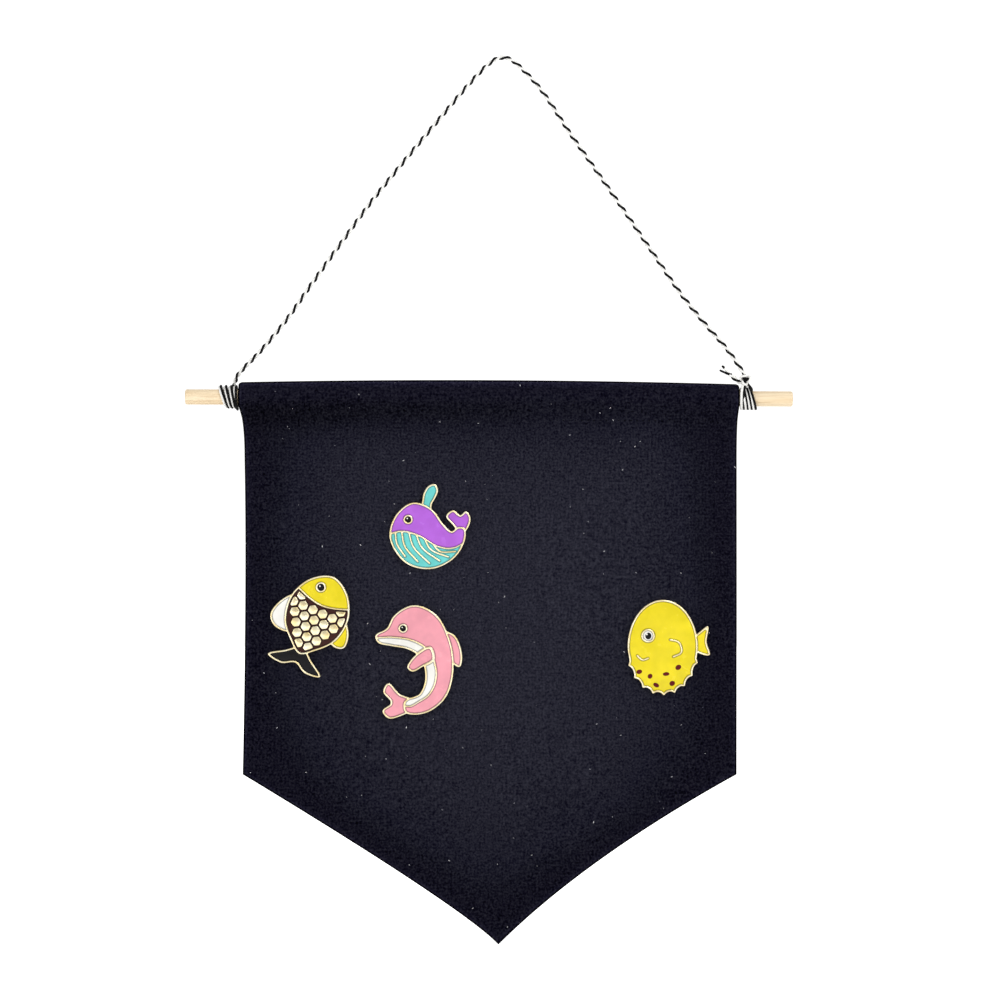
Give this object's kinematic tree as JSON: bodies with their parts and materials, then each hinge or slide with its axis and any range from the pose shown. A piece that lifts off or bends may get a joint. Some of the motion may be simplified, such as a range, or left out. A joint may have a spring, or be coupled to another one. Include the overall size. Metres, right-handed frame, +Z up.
{
  "type": "pin badge board",
  "caption": "pointed canvas banner on a wooden dowel, hung by a twisted twine loop, with enamel pin badges held by butterfly clutches behind the cloth",
  "frame": {"origin": "the underside of the twine at the top of its loop, where a nail or hook carries the board", "axes": "+Z up, the front of the cloth faces -Y, X runs along the dowel"},
  "size_m": [0.22, 0.0117, 0.3221],
  "materials": {
    "canvas": "matte black cotton canvas with a faint blue cast",
    "pine": "bare sanded pale wood",
    "twine": "two-ply cotton twine, one black and one white strand",
    "gilt": "bright gold plating on the die-struck plates",
    "steel": "bright drawn wire",
    "clutch_brass": "stamped brass, lightly polished",
    "enamel_violet": "glossy soft enamel",
    "enamel_turquoise": "glossy soft enamel",
    "enamel_pink": "glossy soft enamel",
    "enamel_white": "glossy soft enamel",
    "enamel_black": "glossy soft enamel",
    "enamel_yellow": "glossy soft enamel",
    "enamel_umber": "glossy soft enamel"
  },
  "bodies": {
    "hanger": {"dowel": "pine", "hanging_cord": "twine", "left_winding": "twine", "right_winding": "twine", "cord_knot": "twine", "cord_tail": "twine"},
    "banner": {"front_panel": "canvas", "back_panel": "canvas"},
    "whale_badge": {"whale_plate": "gilt", "whale_back_enamel": "enamel_violet", "whale_belly_enamel": "enamel_turquoise", "whale_fluke_enamel": "enamel_violet", "whale_spout_enamel": "enamel_turquoise", "whale_eye_enamel": "enamel_black", "whale_post": "steel"},
    "whale_clutch": {"whale_clutch_cap": "clutch_brass"},
    "whale_wing_left": {"whale_clutch_wing_left": "clutch_brass"},
    "whale_wing_right": {"whale_clutch_wing_right": "clutch_brass"},
    "dolphin_badge": {"dolphin_plate": "gilt", "dolphin_back_enamel": "enamel_pink", "dolphin_throat_enamel": "enamel_white", "dolphin_belly_enamel": "enamel_white", "dolphin_fluke_enamel": "enamel_pink", "dolphin_fin_enamel": "enamel_pink", "dolphin_flipper_enamel": "enamel_pink", "dolphin_eye_enamel": "enamel_black", "dolphin_post": "steel"},
    "dolphin_clutch": {"dolphin_clutch_cap": "clutch_brass"},
    "dolphin_wing_left": {"dolphin_clutch_wing_left": "clutch_brass"},
    "dolphin_wing_right": {"dolphin_clutch_wing_right": "clutch_brass"},
    "fish_badge": {"fish_plate": "gilt", "fish_net_enamel": "enamel_umber", "fish_head_enamel": "enamel_yellow", "fish_tail_enamel": "enamel_black", "fish_top_fin_enamel": "enamel_white", "fish_low_fin_enamel": "enamel_yellow", "fish_eye_enamel": "enamel_black", "fish_post": "steel"},
    "fish_clutch": {"fish_clutch_cap": "clutch_brass"},
    "fish_wing_left": {"fish_clutch_wing_left": "clutch_brass"},
    "fish_wing_right": {"fish_clutch_wing_right": "clutch_brass"},
    "puffer_badge": {"puffer_plate": "gilt", "puffer_body_enamel": "enamel_yellow", "puffer_tail_enamel": "enamel_yellow", "puffer_eye_enamel": "enamel_white", "puffer_post": "steel"},
    "puffer_clutch": {"puffer_clutch_cap": "clutch_brass"},
    "puffer_wing_left": {"puffer_clutch_wing_left": "clutch_brass"},
    "puffer_wing_right": {"puffer_clutch_wing_right": "clutch_brass"}
  },
  "joints": [
    {"name": "banner_swing", "type": "hinge", "parent": "hanger", "child": "banner", "pos_m": [0, 0, -0.1223], "axis": [1, 0, 0], "range_deg": [-135, 135]},
    {"name": "whale_turn", "type": "hinge", "parent": "banner", "child": "whale_badge", "pos_m": [-0.02746, 0, -0.17001], "axis": [0, 1, 0], "continuous": true},
    {"name": "whale_clutch_pull", "type": "slide", "parent": "whale_badge", "child": "whale_clutch", "axis": [0, 1, 0], "range_m": [0, 0.005]},
    {"name": "whale_squeeze_left", "type": "hinge", "parent": "whale_clutch", "child": "whale_wing_left", "pos_m": [-0.03146, 0.00202, -0.17001], "axis": [0, 0, -1], "range_deg": [0, 8], "stiffness_Nm_per_rad": 0.02},
    {"name": "whale_squeeze_right", "type": "hinge", "parent": "whale_clutch", "child": "whale_wing_right", "pos_m": [-0.02346, 0.00202, -0.17001], "axis": [0, 0, 1], "range_deg": [0, 8], "stiffness_Nm_per_rad": 0.02},
    {"name": "dolphin_turn", "type": "hinge", "parent": "banner", "child": "dolphin_badge", "pos_m": [-0.02718, 0, -0.21097], "axis": [0, 1, 0], "range_deg": [-30, 30]},
    {"name": "dolphin_clutch_pull", "type": "slide", "parent": "dolphin_badge", "child": "dolphin_clutch", "axis": [0, 1, 0], "range_m": [0, 0.005]},
    {"name": "dolphin_squeeze_left", "type": "hinge", "parent": "dolphin_clutch", "child": "dolphin_wing_left", "pos_m": [-0.03118, 0.00202, -0.21097], "axis": [0, 0, -1], "range_deg": [0, 8], "stiffness_Nm_per_rad": 0.02},
    {"name": "dolphin_squeeze_right", "type": "hinge", "parent": "dolphin_clutch", "child": "dolphin_wing_right", "pos_m": [-0.02318, 0.00202, -0.21097], "axis": [0, 0, 1], "range_deg": [0, 8], "stiffness_Nm_per_rad": 0.02},
    {"name": "fish_turn", "type": "hinge", "parent": "banner", "child": "fish_badge", "pos_m": [-0.06881, 0, -0.20181], "axis": [0, 1, 0], "continuous": true},
    {"name": "fish_clutch_pull", "type": "slide", "parent": "fish_badge", "child": "fish_clutch", "axis": [0, 1, 0], "range_m": [0, 0.005]},
    {"name": "fish_squeeze_left", "type": "hinge", "parent": "fish_clutch", "child": "fish_wing_left", "pos_m": [-0.07281, 0.00202, -0.20181], "axis": [0, 0, -1], "range_deg": [0, 8], "stiffness_Nm_per_rad": 0.02},
    {"name": "fish_squeeze_right", "type": "hinge", "parent": "fish_clutch", "child": "fish_wing_right", "pos_m": [-0.06481, 0.00202, -0.20181], "axis": [0, 0, 1], "range_deg": [0, 8], "stiffness_Nm_per_rad": 0.02},
    {"name": "puffer_turn", "type": "hinge", "parent": "banner", "child": "puffer_badge", "pos_m": [0.05774, 0, -0.2098], "axis": [0, 1, 0], "continuous": true},
    {"name": "puffer_clutch_pull", "type": "slide", "parent": "puffer_badge", "child": "puffer_clutch", "axis": [0, 1, 0], "range_m": [0, 0.005]},
    {"name": "puffer_squeeze_left", "type": "hinge", "parent": "puffer_clutch", "child": "puffer_wing_left", "pos_m": [0.05374, 0.00202, -0.2098], "axis": [0, 0, -1], "range_deg": [0, 8], "stiffness_Nm_per_rad": 0.02},
    {"name": "puffer_squeeze_right", "type": "hinge", "parent": "puffer_clutch", "child": "puffer_wing_right", "pos_m": [0.06174, 0.00202, -0.2098], "axis": [0, 0, 1], "range_deg": [0, 8], "stiffness_Nm_per_rad": 0.02}
  ],
  "couplings": [
    {"joint": "whale_squeeze_right", "follows": "whale_squeeze_left", "ratio": 1},
    {"joint": "dolphin_squeeze_right", "follows": "dolphin_squeeze_left", "ratio": 1},
    {"joint": "fish_squeeze_right", "follows": "fish_squeeze_left", "ratio": 1},
    {"joint": "puffer_squeeze_right", "follows": "puffer_squeeze_left", "ratio": 1}
  ]
}
